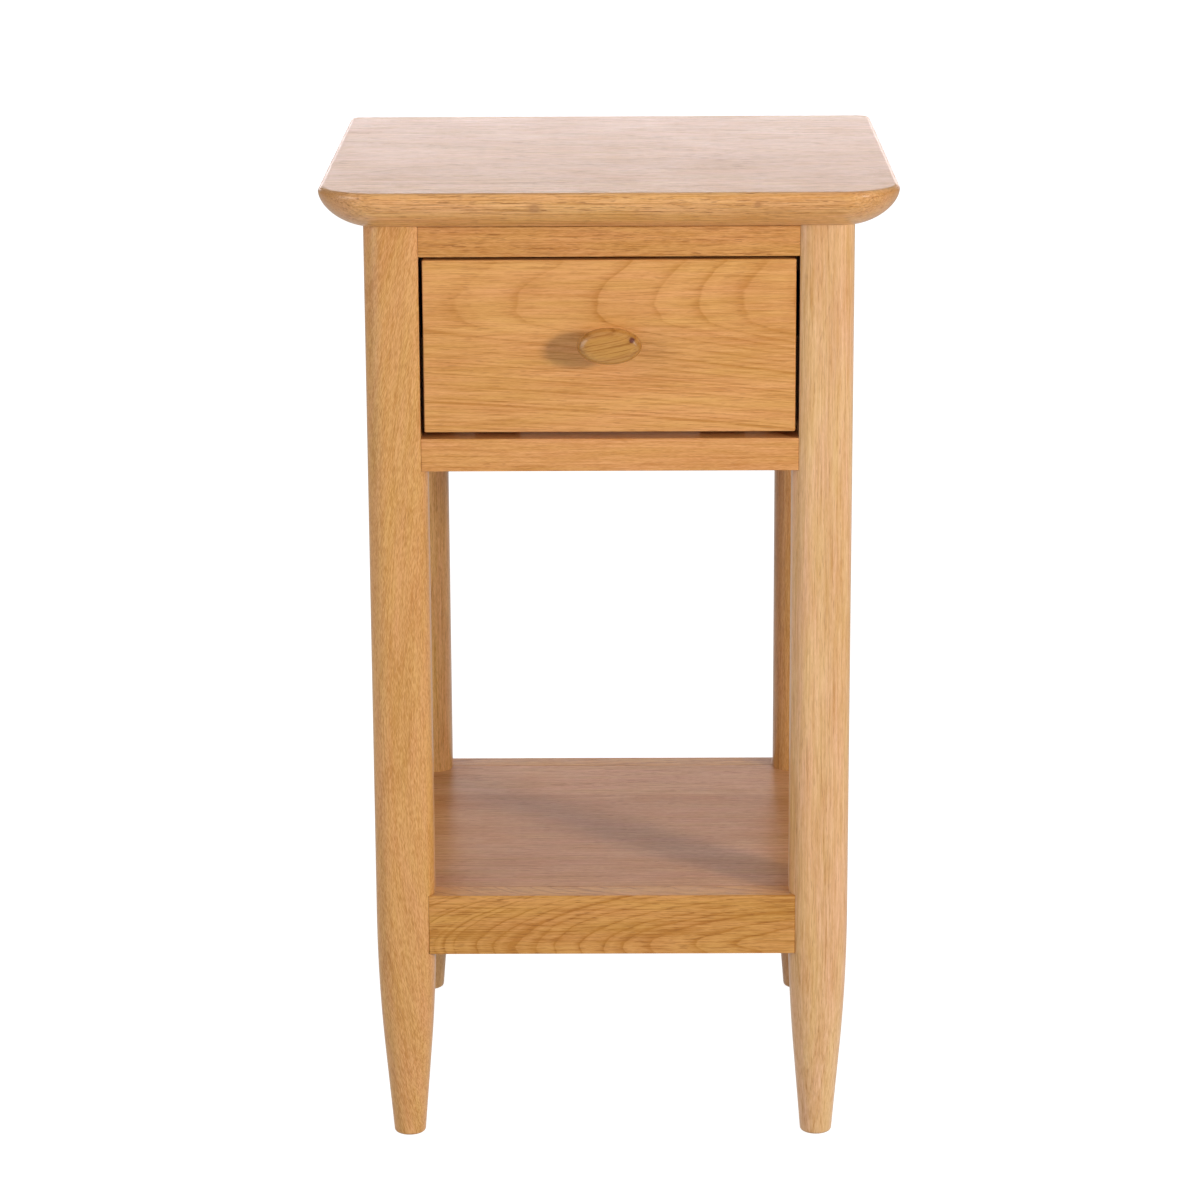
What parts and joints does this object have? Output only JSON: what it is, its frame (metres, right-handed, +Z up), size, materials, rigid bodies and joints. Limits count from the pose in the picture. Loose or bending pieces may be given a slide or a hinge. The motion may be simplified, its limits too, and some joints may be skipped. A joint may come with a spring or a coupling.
{
  "type": "side table with drawer",
  "caption": "Small solid-wood side table with a drawer, tapered round-cornered legs, an undercut top and a low shelf.",
  "frame": {"origin": "on the floor, under the middle of the table's box", "axes": "+X to the right as seen from the front, +Y to the back, +Z up; the drawer opens towards -Y"},
  "size_m": [0.38, 0.366, 0.663],
  "materials": {
    "top_oak": "satin lacquer",
    "frame_oak": "satin lacquer",
    "front_oak": "satin lacquer, horizontal cathedral grain",
    "knob_oak": "satin lacquer, hand-rounded",
    "shelf_oak": "satin lacquer",
    "drawer_box_oak": "clear sealed",
    "case_wood": "planed, unfinished",
    "steel": "zinc plated"
  },
  "bodies": {
    "frame": {"top_board": "top_oak", "leg_front_left": "frame_oak", "leg_front_right": "frame_oak", "leg_back_left": "frame_oak", "leg_back_right": "frame_oak", "upper_front_rail": "frame_oak", "lower_front_rail": "frame_oak", "side_apron_left": "frame_oak", "side_apron_right": "frame_oak", "back_apron": "frame_oak", "shelf_front_rail": "shelf_oak", "shelf_back_rail": "shelf_oak", "shelf_side_rail_left": "shelf_oak", "shelf_side_rail_right": "shelf_oak", "shelf_panel": "shelf_oak", "drawer_runner_left": "case_wood", "drawer_runner_right": "case_wood", "drawer_guide_left": "case_wood", "drawer_guide_right": "case_wood", "drawer_kicker_left": "case_wood", "drawer_kicker_right": "case_wood", "drawer_stops": "case_wood", "top_buttons": "case_wood", "button_screws": "steel", "top_screws": "steel", "runner_screws": "steel"},
    "drawer": {"drawer_front": "front_oak", "drawer_side_left": "drawer_box_oak", "drawer_side_right": "drawer_box_oak", "drawer_back": "drawer_box_oak", "drawer_bottom": "drawer_box_oak", "drawer_knob": "knob_oak", "knob_screw": "steel", "bottom_screws": "steel"}
  },
  "joints": [
    {"name": "drawer_slide", "type": "slide", "parent": "frame", "child": "drawer", "axis": [0, -1, 0], "range_m": [0, 0.2]}
  ]
}
